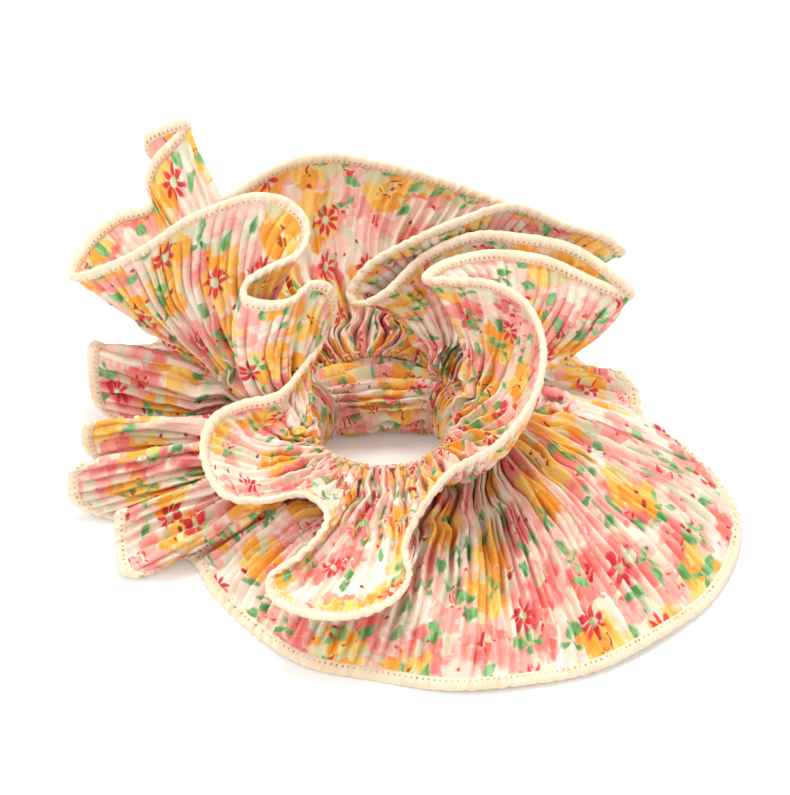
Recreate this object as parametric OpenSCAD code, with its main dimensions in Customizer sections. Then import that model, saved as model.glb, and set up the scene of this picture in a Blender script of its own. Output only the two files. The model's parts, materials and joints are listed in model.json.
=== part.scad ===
// Oversized pleated scrunchie: one strip of crinkle-pleated cloth folded over an
// elastic loop and sewn along one gather line, with two free overlocked ruffles.
// Origin: centre of the hair hole at the mid-height of the casing. +Z is the hole's axis.

/* [Casing and hair hole] */
// Radius of the relaxed hair hole, the casing's inner wall
hole_r = 15.5; // [15:0.5:16.5]
// Outer radius of the casing
casing_r = 26.5; // [26:0.5:28]
// Height of the gathered casing
casing_h = 18; // [17:0.5:20]
// Radius of the casing's rolled corners
casing_round = 3.5; // [3:0.25:4]

/* [Elastic] */
// Width of the flat elastic
elastic_w = 8; // [6:0.5:9]
// Thickness of the flat elastic
elastic_t = 1.2; // [1:0.1:1.4]
// Radius of the relaxed elastic loop, to its inner face
elastic_r = 19.5; // [19:0.25:20.5]
// Angle over which the elastic's two ends lap
lap_angle = 30; // [20:1:40]
// Clear space between the elastic and the casing's cloth
channel_gap = 0.8; // [0.5:0.1:1.2]

/* [Cloth] */
// Length of cloth from the gather line to the overlocked edge
ruffle_w = 60; // [58:1:62]
// Thickness of the pleated cloth, crest to valley
cloth_t = 1.2; // [0.8:0.1:1.6]
// Length of an upper thread of cloth over its straight chord, where cloth is to spare
upper_slack = 1.12; // [1.1:0.01:1.13]
// Length of a lower thread of cloth over its straight chord, where cloth is to spare
lower_slack = 1.03; // [1.02:0.01:1.06]
// Radius of the gather line at the upper ruffle's root, in front of the hole
upper_root_r = 17.5; // [17:0.25:19]
// Height of the upper ruffle's root above the middle of the casing
upper_root_z = 8.6; // [8.4:0.1:9]
// Radius of the gather line at the lower ruffle's root
lower_root_r = 25.5; // [25:0.25:26]
// Height of the lower ruffle's root above the middle of the casing
lower_root_z = 5; // [4.5:0.25:5.5]
// How far the upper root slides out over the casing's left shoulder
upper_spread = 9.5; // [8:0.5:10]
// How much farther out the upper root runs behind the hole
upper_setback = 5; // [4:0.5:6]
// How far the lower root slides out over the casing's left shoulder
lower_spread = 1; // [0.5:0.5:2]
// How far both roots drop as they slide out
side_drop = 5; // [4:0.5:6]
// How early the upper ruffle's waves open out, from 0, evenly along the cloth
upper_fullness = 0.3; // [0:0.1:0.5]
// How early the lower ruffle's flutes open out, from 0, evenly along the cloth
lower_fullness = 1; // [0.5:0.1:1]

/* [Thread] */
// Width of the overlock band that wraps each ruffle's edge
band_w = 2.4; // [2:0.1:3]
// Thickness of the overlock band
band_t = 1.8; // [1.4:0.1:2.2]
// Radius of the sewing thread
thread_r = 0.3; // [0.25:0.05:0.4]
// Number of stitches in the gather line
stitch_count = 48; // [36:2:60]
// Number of threads in the bar tack that closes the elastic
tack_count = 7; // [5:2:9]
// Width of the seam allowance at the join of the cloth strip
seam_w = 4; // [3:0.5:5]

/* [Resolution] */
// Columns of cloth between two points of a fold line
column_steps = 3; // [2:1:3]
// Rows of cloth from the gather line to the edge
row_count = 6; // [4:1:6]

/* [Hidden] */

channel_r = elastic_r - channel_gap;
channel_w = elastic_w + 2 * channel_gap;
channel_d = 2 * elastic_t + 2 * channel_gap;
lap_start = 75;
spread_turn = 20;                  // the gather line slides out round 160 degrees
seam_at = 470;                     // place of the cloth's join on the gather line, degrees
stitch_part = 0.62;                // a stitch's part of its pitch
stitch_out = 1.4;                  // from the upper root out to the stitches
stitch_up = 0.7;                   // from the upper root up to the stitches

cream = "#f6e3b4";
blossom = "#f3b2a2";
leaf_tint = "#efc27a";
white_knit = "#f4f0e6";

// Fold lines. Each row is [place on the gather line in degrees, edge x, y, z, lift].
// Lift leans the bow of the cloth: 1 bows up, 0 bows outward, -1 bows down. What leans along
// the cloth itself is lost, so a small lift on cloth that lies flat gives a shallow bow.
upper_fold = [
    // left lobe, along its long lip
    [152, -75, 20, 35, -0.3],
    [157, -64, 18, 41, -0.3],
    [162, -55, 20, 46, -0.3],
    [166, -47, 22, 51, -0.3],
    [170, -38, 24, 54, -0.3],
    [173, -31, 26, 55, -0.3],
    [176, -24, 27, 53, -0.3],
    // curl that drops behind the left lobe's lip
    [179, -19, 24, 49, -0.3],
    [182, -20, 18, 45, -0.3],
    [185, -28, 14, 43, -0.3],
    [188, -33, 11, 41, -0.3],
    [191, -33, 7, 39, -0.3],
    [194, -27, 6, 38, -0.3],
    [197, -21, 7, 39, -0.3],
    [200, -17, 11, 40, -0.3],
    [203, -13, 13, 37, -0.3],
    // lip that runs down to the near left lobe
    [206, -12, 13, 30, -0.3],
    [209, -15, 9, 25, -0.3],
    [212, -20, 1, 22, -0.5],
    [215, -25, -5, 19, -0.6],
    [218, -33, -7, 18, -0.6],
    [221, -39, -13, 19, -0.6],
    [225, -41, -21, 18, -0.6],
    [229, -39, -29, 16, -0.6],
    [233, -35, -33, 14, -0.6],
    [237, -27, -34, 14, -0.6],
    [241, -19, -33, 15, -0.6],
    [245, -14, -35, 14, -0.6],
    // front lobe, a cup that lies over the lower ruffle
    [249, -12, -39, 13, -0.3],
    [252, -14, -45, 13, -0.3],
    [255, -19, -50.5, 12, -0.1],
    [258, -25, -56, 11, -0.1],
    [262, -23.5, -61.5, 9, -0.1],
    [267, -15, -65, 8, -0.1],
    [273, -5, -65.5, 8, -0.1],
    [279, 3, -62.5, 9, -0.1],
    [285, 7, -56, 10, -0.1],
    // lip that climbs round the right lobe
    [291, 6, -48, 12, -0.3],
    [298, 9, -43, 17, -0.5],
    [306, 16, -38, 25, -0.7],
    [315, 25, -36, 30, -0.6],
    [323, 31, -32, 34, -0.5],
    [331, 36, -23, 37, -0.4],
    [338, 38, -10, 39, -0.3],
    [344, 35, 3, 40, -0.3],
    [350, 27, 11, 40, -0.3],
    [355, 17, 14, 39, -0.2],
    // tight turn, then out to the right
    [359, 11, 17, 37, -0.1],
    [363, 16, 23, 37, 0],
    [367, 27, 29, 35, -0.2],
    [371, 40, 29, 33, -0.3],
    [375, 52, 25, 29, -0.4],
    [379, 61, 24, 26, -0.4],
    [383, 57, 26, 30, -0.3],
    // back from the right tip to the hole
    [387, 47, 32, 34, -0.3],
    [391, 35, 33, 37, -0.2],
    [395, 23, 34, 37, -0.2],
    [399, 11, 30, 34, -0.2],
    [403, 2, 23, 29, -0.1],
    [407, -5, 21, 27, 0],
    [411, -7, 23, 29, 0],
    // out again to the far right tip
    [415, -2, 27, 35, 0],
    [419, 8, 31, 39, -0.1],
    [423, 20, 36, 41, -0.2],
    [427, 32, 41, 41, -0.3],
    [431, 44, 41, 35.5, -0.3],
    [435, 54, 39, 33, -0.3],
    [440, 59, 39, 27, -0.3],
    [445, 50, 43, 29.5, -0.3],
    // back wall
    [451, 33, 46, 36, -0.3],
    [458, 17, 51, 39.5, -0.3],
    [465, 2, 54, 42.5, -0.3],
    [472, -13, 56, 44.5, -0.3],
    [478, -26, 53, 43.5, -0.3],
    [484, -38, 46, 39, -0.3],
    // back left horn and the return to the left tip
    [487, -44, 52, 34, -0.3],
    [490, -52, 60, 35, -0.3],
    [493, -57.5, 63, 39, -0.3],
    [495, -58.5, 63, 45, -0.3],
    [497, -53.5, 62, 49, -0.3],
    [499, -48, 60, 52, -0.3],
    [501, -52, 58, 47.5, -0.3],
    [503, -56.5, 56, 43, -0.3],
    [505, -58.5, 53, 38.5, -0.3],
    [507, -58.5, 48, 34.5, -0.3],
    [509, -66, 43, 35, -0.3],
    [511, -73, 33, 34, -0.3]
];
lower_fold = [
    // four flutes stacked at the left
    [150, -70.5, 19, 15, -0.3],
    [157, -71, 15, 8, -0.3],
    [164, -69, 12, 0, 0],
    [170, -60, 10, -5, 0],
    [176, -69.5, -2, 8, 0.3],
    [181, -71.5, -3, 4, 0.3],
    [186, -69.5, -4, -1, 0.3],
    [191, -62, -5, -6, 0.3],
    [196, -72.5, -12, 4, 0.4],
    [201, -74.5, -15, 0, 0.4],
    [206, -72.5, -17, -5, 0.4],
    [210, -61, -20, -7, 0.4],
    [215, -62, -25, 1, 0.3],
    [219, -62, -30, -5, 0.3],
    [226, -59, -38, -7, 0.3],
    [234, -47, -32, -7, 0.6],
    // flat fan across the front and the right
    [243, -43, -34, -7, 0.7],
    [254, -39, -43, -7, 0.8],
    [268, -30, -54.5, -7, 0.9],
    [284, -17, -65.5, -7, 1],
    [302, 0, -70, -7, 1],
    [318, 16, -73, -7, 0.7],
    [333, 32, -71.5, -7, 0.7],
    [347, 48, -67.5, -7, 1],
    [358, 62, -58.5, -7, 1],
    [367, 76, -46, -7, 1],
    [373, 83.5, -31, -7, 1],
    [378, 85, -17, -7, 1],
    [382, 80.5, -4.5, -7, 1],
    [386, 73.5, 6.5, -7, 1],
    [389, 66.5, 12, -7, 1],
    // far side of the fan, rising off the table in low waves
    [392, 63.5, 19, -6, 0.5],
    [395, 63, 24, -5, 0.2],
    [399, 59, 29, -4, 0.2],
    [403, 52, 34, -7, 0.6],
    [409, 43, 44, -3, 0.7],
    [418, 30, 55, -7, 0.7],
    [429, 14, 61, -2, 0.7],
    [440, -2, 59, -7, 0.7],
    [452, -18, 61, -2, 0.7],
    [463, -34, 55, -7, 0.6],
    [474, -46, 49, 1, 0.4],
    [485, -58, 41, -5, 0.2],
    [497, -67, 31, 2, 0]
];

// ---- vectors and curves ----
function dot(a, b) = a * b;
function unit(v) = v / max(norm(v), 0.000001);
function smooth(p0, p1, p2, p3, t) =
    0.5 * (2 * p1 + (p2 - p0) * t + (2 * p0 - 5 * p1 + 4 * p2 - p3) * t * t
        + (3 * p1 - p0 - 3 * p2 + p3) * t * t * t);
// A closed fold line's row i, where a turn past the end adds 360 degrees
function fold_row(fold, i) =
    let (n = len(fold), turn = floor(i / n))
    fold[i - n * turn] + [360 * turn, 0, 0, 0, 0];
// The fold line at a place k, counted in rows
function fold_at(fold, k) =
    let (i = floor(k))
    smooth(fold_row(fold, i - 1), fold_row(fold, i), fold_row(fold, i + 1), fold_row(fold, i + 2), k - i);

// ---- the cloth between the gather line and the edge ----
// Half-angle of the arc whose chord is this part of its length
function arc_half_angle(chord_part) =
    let (squared = 10 - sqrt(max(0, 100 - 120 * (1 - chord_part))))
    sqrt(max(squared, 0.0025)) * 180 / PI;
// Shape of a ruffle: [root radius, root height, spread, setback, slack, fullness]
function upper_shape() =
    [upper_root_r, upper_root_z, upper_spread, upper_setback, upper_slack, upper_fullness];
function lower_shape() = [lower_root_r, lower_root_z, lower_spread, 0, lower_slack, lower_fullness];
// A point on a gather line, which slides out and down over the casing's left shoulder
function root_point(angle, shape) =
    let (
        aside = pow(max(0, -cos(angle + spread_turn)), 6),
        behind = pow(max(0, sin(angle)), 2),
        radius = shape[0] + shape[2] * aside + shape[3] * behind
    )
    [radius * cos(angle), radius * sin(angle), shape[1] - side_drop * aside];
// The edge with its waves averaged out, round a place on the fold line
function calm_edge(fold, k) =
    let (rows = [for (j = [-2 : 0.5 : 2]) fold_at(fold, k + j)], n = len(rows))
    [for (axis = [1 : 3]) [for (row = rows) row[axis]] * [for (row = rows) 1 / n]];
// One thread of cloth: a point at t, from 0 at the gather line to 1 at the edge
function ray_point(row, calm, shape, t) =
    let (
        root = root_point(row[0], shape),
        out = [cos(row[0]), sin(row[0]), 0],
        edge = [row[1], row[2], row[3]],
        chord = norm(edge - root),
        along = (edge - root) / chord,
        length = max(chord * 1.01, min(ruffle_w, shape[4] * chord)),
        half = arc_half_angle(chord / length),
        lean = (1 - abs(row[4])) * out + [0, 0, row[4]],
        bow = lean - dot(lean, along) * along,
        swing = (2 * t - 1) * half,
        opened = 1 - pow(1 - t, 3) - t
    )
    root + along * chord / 2 * (1 + sin(swing) / sin(half))
        + bow * chord / (2 * sin(half)) * (cos(swing) - cos(half))
        + (edge - calm) * shape[5] * opened;
function cloth_grid(fold, shape, columns) =
    [for (u = [0 : columns - 1])
        let (k = u * len(fold) / columns, row = fold_at(fold, k), calm = calm_edge(fold, k))
        [for (v = [0 : row_count]) ray_point(row, calm, shape, v / row_count)]];
// Unit normal of a closed grid at a column and a row
function grid_normal(grid, u, v) =
    let (
        n = len(grid),
        across = grid[(u + 1) % n][v] - grid[(u + n - 1) % n][v],
        up_to = grid[u][min(v + 1, row_count)],
        up_from = grid[u][max(v - 1, 0)]
    )
    unit(cross(across, up_to - up_from));

// A closed ring of cloth of an even thickness
module cloth_ring(fold, shape) {
    columns = len(fold) * column_steps;
    grid = cloth_grid(fold, shape, columns);
    rows = row_count + 1;
    points = [for (side = [-0.5, 0.5]) for (u = [0 : columns - 1]) for (v = [0 : row_count])
        grid[u][v] + side * cloth_t * grid_normal(grid, u, v)];
    half = columns * rows;
    function at(side, u, v) = side * half + (u % columns) * rows + v;
    faces = concat(
        [for (u = [0 : columns - 1]) for (v = [0 : row_count - 1])
            [at(0, u, v), at(0, u + 1, v), at(0, u, v + 1)]],
        [for (u = [0 : columns - 1]) for (v = [0 : row_count - 1])
            [at(0, u + 1, v), at(0, u + 1, v + 1), at(0, u, v + 1)]],
        [for (u = [0 : columns - 1]) for (v = [0 : row_count - 1])
            [at(1, u, v), at(1, u, v + 1), at(1, u + 1, v)]],
        [for (u = [0 : columns - 1]) for (v = [0 : row_count - 1])
            [at(1, u + 1, v), at(1, u, v + 1), at(1, u + 1, v + 1)]],
        [for (u = [0 : columns - 1]) [at(0, u, 0), at(1, u, 0), at(0, u + 1, 0)]],
        [for (u = [0 : columns - 1]) [at(0, u + 1, 0), at(1, u, 0), at(1, u + 1, 0)]],
        [for (u = [0 : columns - 1]) [at(0, u, row_count), at(0, u + 1, row_count), at(1, u, row_count)]],
        [for (u = [0 : columns - 1]) [at(0, u + 1, row_count), at(1, u + 1, row_count), at(1, u, row_count)]]
    );
    polyhedron(points, faces);
}

// A closed band of rectangular section that follows a ruffle's edge
module edge_band(fold, shape) {
    columns = len(fold) * column_steps;
    grid = cloth_grid(fold, shape, columns);
    corners = [[0.02, -0.5], [0.02, 0.5], [1, 0.5], [1, -0.5]];
    points = [for (u = [0 : columns - 1])
        let (
            edge = grid[u][row_count],
            outward = unit(edge - grid[u][row_count - 1]),
            normal = grid_normal(grid, u, row_count)
        )
        for (c = corners) edge + outward * band_w * c[0] + normal * band_t * c[1]];
    function at(u, c) = (u % columns) * 4 + c % 4;
    faces = concat(
        [for (u = [0 : columns - 1]) for (c = [0 : 3]) [at(u, c), at(u + 1, c), at(u, c + 1)]],
        [for (u = [0 : columns - 1]) for (c = [0 : 3]) [at(u + 1, c), at(u + 1, c + 1), at(u, c + 1)]]
    );
    polyhedron(points, faces);
}

// The seam allowance of the cloth's join, a narrow strip against the ruffle's far face
module join_seam(fold, shape, side) {
    n = len(fold);
    columns = n * column_steps;
    grid = cloth_grid(fold, shape, columns);
    places = [for (u = [0 : columns - 1]) if (fold_at(fold, u / column_steps)[0] < seam_at) u];
    u = max(places);
    lift = side * (cloth_t / 2 + 0.35);
    points = [for (v = [0 : row_count])
        let (
            normal = grid_normal(grid, u, v),
            across = unit(grid[(u + 1) % columns][v] - grid[u][v]),
            reach = seam_w / 2 * (0.2 + 0.8 * v / row_count),
            middle = grid[u][v] + lift * normal
        )
        for (c = [[-1, -0.25], [-1, 0.25], [1, 0.25], [1, -0.25]])
            middle + across * reach * c[0] + normal * c[1]];
    function at(v, c) = v * 4 + c % 4;
    faces = concat(
        [for (v = [0 : row_count - 1]) for (c = [0 : 3]) [at(v, c), at(v, c + 1), at(v + 1, c)]],
        [for (v = [0 : row_count - 1]) for (c = [0 : 3]) [at(v, c + 1), at(v + 1, c + 1), at(v + 1, c)]],
        [[0, 3, 2], [0, 2, 1]],
        [[at(row_count, 0), at(row_count, 1), at(row_count, 2)],
         [at(row_count, 0), at(row_count, 2), at(row_count, 3)]]
    );
    polyhedron(points, faces);
}

// ---- the sub-parts ----
module elastic_band() {
    lap_reach = 2 * elastic_r;
    color(white_knit)
    translate([0, 0, -elastic_w / 2])
        linear_extrude(elastic_w)
            difference() {
                union() {
                    circle(r = elastic_r + elastic_t, $fn = 96);
                    intersection() {
                        circle(r = elastic_r + 2 * elastic_t, $fn = 96);
                        polygon([
                            [0, 0],
                            lap_reach * [cos(lap_start), sin(lap_start)],
                            lap_reach * [cos(lap_start + lap_angle), sin(lap_start + lap_angle)]
                        ]);
                    }
                }
                circle(r = elastic_r, $fn = 96);
            }
}

module elastic_bar_tack() {
    color("white")
    for (i = [0 : tack_count - 1])
        rotate([0, 0, lap_start + lap_angle * (i + 1) / (tack_count + 1)])
            translate([elastic_r + 2 * elastic_t + thread_r, 0, -elastic_w * 0.35])
                cylinder(h = elastic_w * 0.7, r = thread_r, $fn = 16);
}

module casing_profile() {
    wall = casing_r - hole_r;
    translate([hole_r, -casing_h / 2 + casing_round])
        square([wall, casing_h - 2 * casing_round]);
    translate([hole_r + casing_round, -casing_h / 2])
        square([wall - 2 * casing_round, casing_h]);
    for (x = [hole_r + casing_round, casing_r - casing_round])
        for (y = [-1, 1])
            translate([x, y * (casing_h / 2 - casing_round)])
                circle(r = casing_round, $fn = 32);
}

module casing() {
    color(blossom)
    difference() {
        rotate_extrude($fn = 96) casing_profile();
        translate([0, 0, -channel_w / 2])
            rotate_extrude($fn = 96)
                translate([channel_r, 0])
                    square([channel_d, channel_w]);
    }
}

module gather_stitches() {
    pitch = 360 / stitch_count;
    color(cream)
    for (i = [0 : stitch_count - 1]) {
        root = root_point(i * pitch, upper_shape());
        radius = norm([root[0], root[1]]) + stitch_out;
        stitch = radius * 2 * PI / stitch_count * stitch_part;
        rotate([0, 0, i * pitch])
            translate([radius, 0, root[2] + stitch_up])
                rotate([90, 0, 0])
                    cylinder(h = stitch, r = thread_r, center = true, $fn = 16);
    }
}

module upper_ruffle() {
    color(blossom) cloth_ring(upper_fold, upper_shape());
}

module lower_ruffle() {
    color(leaf_tint) cloth_ring(lower_fold, lower_shape());
}

module upper_overlock() {
    color(cream) edge_band(upper_fold, upper_shape());
}

module lower_overlock() {
    color(cream) edge_band(lower_fold, lower_shape());
}

module upper_join_seam() {
    color(cream) join_seam(upper_fold, upper_shape(), 1);
}

module lower_join_seam() {
    color(cream) join_seam(lower_fold, lower_shape(), 1);
}

elastic_band();
elastic_bar_tack();
casing();
gather_stitches();
upper_ruffle();
lower_ruffle();
upper_overlock();
lower_overlock();
upper_join_seam();
lower_join_seam();
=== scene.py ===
import json
import math

import bpy
import numpy as np
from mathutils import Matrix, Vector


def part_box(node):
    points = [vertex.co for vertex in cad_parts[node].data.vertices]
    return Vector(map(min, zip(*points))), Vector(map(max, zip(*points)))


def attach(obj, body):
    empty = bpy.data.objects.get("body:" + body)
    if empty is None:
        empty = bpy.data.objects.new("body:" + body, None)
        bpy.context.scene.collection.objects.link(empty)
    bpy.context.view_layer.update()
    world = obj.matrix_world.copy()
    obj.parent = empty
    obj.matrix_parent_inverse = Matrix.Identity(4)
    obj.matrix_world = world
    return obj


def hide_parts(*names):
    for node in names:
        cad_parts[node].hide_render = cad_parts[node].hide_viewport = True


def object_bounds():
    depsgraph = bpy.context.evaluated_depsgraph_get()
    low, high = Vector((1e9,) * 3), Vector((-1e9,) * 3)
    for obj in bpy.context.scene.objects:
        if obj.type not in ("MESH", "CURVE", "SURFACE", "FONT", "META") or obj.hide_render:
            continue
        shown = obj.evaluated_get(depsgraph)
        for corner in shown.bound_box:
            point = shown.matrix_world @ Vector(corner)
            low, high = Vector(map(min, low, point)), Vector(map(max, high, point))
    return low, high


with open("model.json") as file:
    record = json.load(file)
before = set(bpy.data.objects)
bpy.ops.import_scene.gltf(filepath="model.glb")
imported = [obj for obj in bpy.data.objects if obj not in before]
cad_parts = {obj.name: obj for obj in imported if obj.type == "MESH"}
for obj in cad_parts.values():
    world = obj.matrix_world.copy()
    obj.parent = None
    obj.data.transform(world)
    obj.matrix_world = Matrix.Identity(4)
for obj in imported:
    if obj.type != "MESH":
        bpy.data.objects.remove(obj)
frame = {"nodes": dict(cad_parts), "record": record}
cad_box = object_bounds()

# One strip of crinkle-pleated cloth is folded over an elastic loop and sewn along one gather
# line. Its two free sides are the ruffles. Lengths are in millimetres until a mesh is made.
MM = 0.001

# ---- driving dimensions, from the frame where it has them ----
casing_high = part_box("casing")[1]
FLOOR_Z = cad_box[0][2] / MM
CASING_R = casing_high[0] / MM
CASING_TOP = casing_high[2] / MM
HOLE_R = frame["record"]["mounts"][0]["dims"]["r_mm"]
# How far the gather line drops over the left shoulder, and where that shoulder is
SIDE_DROP = 5.0
SPREAD_TURN = math.radians(20)
# Flat width of each ruffle from gather to edge, and the cloth's thickness
RUFFLE_W = 60.0
CLOTH_T = 0.25
# The pleats: their pitch at the edge, and how finely the cloth's grid follows them
PLEAT_PITCH = 3.0
COLUMNS_PER_PLEAT = 7
CLOTH_ROWS = 52
# Flat cloth for each length of pleated cloth, and the share of it that lies hidden in valleys
FLAT_PER_PLEATED = 1.15
HIDDEN_CLOTH = 0.3
# The overlock band's width across the edge, its depth and its stitch length
BAND_WIDTH = 3.1
BAND_DEPTH = 1.7
STITCH_PITCH = 1.35
# The join seams: place on the gather line in degrees, half width in columns, height, thickness
SEAM_PLACE = 470.0
SEAM_SPAN = 5
SEAM_LIFT = 1.1
SEAM_T = 0.5
# The channel's slack back: how far its middle leans in, and the share its inner top sinks by
CASING_LEAN = 2.8
CASING_SINK = 0.4

# Each ruffle's root on the gather line, and how its cloth opens out from there.
UPPER = {"root_r": 17.5, "root_z": 8.6, "spread": 9.5, "setback": 5.0, "slack": 1.12, "fullness": 0.3,
         "crinkle": 0.6}
LOWER = {"root_r": 25.5, "root_z": 5.0, "spread": 1.0, "setback": 0.0, "slack": 1.03, "fullness": 1.0,
         "crinkle": 1.4}

# Fold lines. Each row is the place on the gather line in degrees, the edge's x, y and z, and
# the lift, which leans the bow of the cloth: 1 bows up, 0 outward, -1 down.
UPPER_FOLD = [
    # left lobe, along its long lip
    (152, -75, 20, 35, -0.3),
    (157, -64, 18, 41, -0.3),
    (162, -55, 20, 46, -0.3),
    (166, -47, 22, 51, -0.3),
    (170, -38, 24, 54, -0.3),
    (173, -31, 26, 55, -0.3),
    (176, -24, 27, 53, -0.3),
    # curl that drops behind the left lobe's lip
    (179, -19, 24, 49, -0.3),
    (182, -20, 18, 45, -0.3),
    (185, -28, 14, 43, -0.3),
    (188, -33, 11, 41, -0.3),
    (191, -33, 7, 39, -0.3),
    (194, -27, 6, 38, -0.3),
    (197, -21, 7, 39, -0.3),
    (200, -17, 11, 40, -0.3),
    (203, -13, 13, 37, -0.3),
    # lip that runs down to the near left lobe
    (206, -12, 13, 30, -0.3),
    (209, -15, 9, 25, -0.3),
    (212, -20, 1, 22, -0.5),
    (215, -25, -5, 19, -0.6),
    (218, -33, -7, 18, -0.6),
    (221, -39, -13, 19, -0.6),
    (225, -41, -21, 18, -0.6),
    (229, -39, -29, 16, -0.6),
    (233, -35, -33, 14, -0.6),
    (237, -27, -34, 14, -0.6),
    (241, -19, -33, 15, -0.6),
    (245, -14, -35, 14, -0.6),
    # front lobe, a cup that lies over the lower ruffle
    (249, -12, -39, 13, -0.3),
    (252, -14, -45, 13, -0.3),
    (255, -19, -50.5, 12, -0.1),
    (258, -25, -56, 11, -0.1),
    (262, -23.5, -61.5, 9, -0.1),
    (267, -15, -65, 8, -0.1),
    (273, -5, -65.5, 8, -0.1),
    (279, 3, -62.5, 9, -0.1),
    (285, 7, -56, 10, -0.1),
    # lip that climbs round the right lobe
    (291, 6, -48, 12, -0.3),
    (298, 9, -43, 17, -0.5),
    (306, 16, -38, 25, -0.7),
    (315, 25, -36, 30, -0.6),
    (323, 31, -32, 34, -0.5),
    (331, 36, -23, 37, -0.4),
    (338, 38, -10, 39, -0.3),
    (344, 35, 3, 40, -0.3),
    (350, 27, 11, 40, -0.3),
    (355, 17, 14, 39, -0.2),
    # tight turn, then out to the right
    (359, 11, 17, 37, -0.1),
    (363, 16, 23, 37, 0),
    (367, 27, 29, 35, -0.2),
    (371, 40, 29, 33, -0.3),
    (375, 52, 25, 29, -0.4),
    (379, 61, 24, 26, -0.4),
    (383, 57, 26, 30, -0.3),
    # back from the right tip to the hole
    (387, 47, 32, 34, -0.3),
    (391, 35, 33, 37, -0.2),
    (395, 23, 34, 37, -0.2),
    (399, 11, 30, 34, -0.2),
    (403, 2, 23, 29, -0.1),
    (407, -5, 21, 27, 0),
    (411, -7, 23, 29, 0),
    # out again to the far right tip
    (415, -2, 27, 35, 0),
    (419, 8, 31, 39, -0.1),
    (423, 20, 36, 41, -0.2),
    (427, 32, 41, 41, -0.3),
    (431, 44, 41, 35.5, -0.3),
    (435, 54, 39, 33, -0.3),
    (440, 59, 39, 27, -0.3),
    (445, 50, 43, 29.5, -0.3),
    # back wall
    (451, 33, 46, 36, -0.3),
    (458, 17, 51, 39.5, -0.3),
    (465, 2, 54, 42.5, -0.3),
    (472, -13, 56, 44.5, -0.3),
    (478, -26, 53, 43.5, -0.3),
    (484, -38, 46, 39, -0.3),
    # back left horn and the return to the left tip
    (487, -44, 52, 34, -0.3),
    (490, -52, 60, 35, -0.3),
    (493, -57.5, 63, 39, -0.3),
    (495, -58.5, 63, 45, -0.3),
    (497, -53.5, 62, 49, -0.3),
    (499, -48, 60, 52, -0.3),
    (501, -52, 58, 47.5, -0.3),
    (503, -56.5, 56, 43, -0.3),
    (505, -58.5, 53, 38.5, -0.3),
    (507, -58.5, 48, 34.5, -0.3),
    (509, -66, 43, 35, -0.3),
    (511, -73, 33, 34, -0.3),
]
LOWER_FOLD = [
    # four flutes stacked at the left
    (150, -70.5, 19, 15, -0.3),
    (157, -71, 15, 8, -0.3),
    (164, -69, 12, 0, 0),
    (170, -60, 10, -5, 0),
    (176, -69.5, -2, 8, 0.3),
    (181, -71.5, -3, 4, 0.3),
    (186, -69.5, -4, -1, 0.3),
    (191, -62, -5, -6, 0.3),
    (196, -72.5, -12, 4, 0.4),
    (201, -74.5, -15, 0, 0.4),
    (206, -72.5, -17, -5, 0.4),
    (210, -61, -20, -7, 0.4),
    (215, -62, -25, 1, 0.3),
    (219, -62, -30, -5, 0.3),
    (226, -59, -38, -7, 0.3),
    (234, -47, -32, -7, 0.6),
    # flat fan across the front and the right
    (243, -43, -34, -7, 0.7),
    (254, -39, -43, -7, 0.8),
    (268, -30, -54.5, -7, 0.9),
    (284, -17, -65.5, -7, 1),
    (302, 0, -70, -7, 1),
    (318, 16, -73, -7, 0.7),
    (333, 32, -71.5, -7, 0.7),
    (347, 48, -67.5, -7, 1),
    (358, 62, -58.5, -7, 1),
    (367, 76, -46, -7, 1),
    (373, 83.5, -31, -7, 1),
    (378, 85, -17, -7, 1),
    (382, 80.5, -4.5, -7, 1),
    (386, 73.5, 6.5, -7, 1),
    (389, 66.5, 12, -7, 1),
    # far side of the fan, rising off the table in low waves
    (392, 63.5, 19, -6, 0.5),
    (395, 63, 24, -5, 0.2),
    (399, 59, 29, -4, 0.2),
    (403, 52, 34, -7, 0.6),
    (409, 43, 44, -3, 0.7),
    (418, 30, 55, -7, 0.7),
    (429, 14, 61, -2, 0.7),
    (440, -2, 59, -7, 0.7),
    (452, -18, 61, -2, 0.7),
    (463, -34, 55, -7, 0.6),
    (474, -46, 49, 1, 0.4),
    (485, -58, 41, -5, 0.2),
    (497, -67, 31, 2, 0),
]


# ---- camera and lights ----
# What the camera looks at, from how far, how steeply and at what scale
CAMERA_AIM = (3.1, 0.0, FLOOR_Z + 24.0)
CAMERA_DISTANCE = 700.0
CAMERA_ELEVATION = math.radians(42)
MM_PER_PIXEL = 0.2425
FRAME_W = 790


def add_camera():
    """A level camera in front of the object, looking down on it."""
    data = bpy.data.cameras.new("camera")
    data.sensor_fit = "HORIZONTAL"
    data.sensor_width = 36.0
    data.lens = 36.0 * CAMERA_DISTANCE / (MM_PER_PIXEL * FRAME_W)
    data.clip_start = 0.01
    data.clip_end = 20.0
    camera = bpy.data.objects.new("camera", data)
    back = -CAMERA_DISTANCE * math.cos(CAMERA_ELEVATION)
    rise = CAMERA_DISTANCE * math.sin(CAMERA_ELEVATION)
    x, y, z = CAMERA_AIM
    camera.location = (x * MM, (y + back) * MM, (z + rise) * MM)
    camera.rotation_euler = (math.pi / 2 - CAMERA_ELEVATION, 0, 0)
    bpy.context.scene.collection.objects.link(camera)
    bpy.context.scene.camera = camera


def add_softbox(name, place, size, power, tint=(1, 1, 1)):
    """A square area lamp at a place in metres, turned towards the object."""
    data = bpy.data.lights.new(name, "AREA")
    data.size = size
    data.energy = power
    data.color = tint
    lamp = bpy.data.objects.new(name, data)
    x, y, z = place
    lamp.location = place
    lamp.rotation_euler = (math.atan2(math.hypot(x, y), z), 0, math.atan2(x, -y))
    bpy.context.scene.collection.objects.link(lamp)


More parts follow.
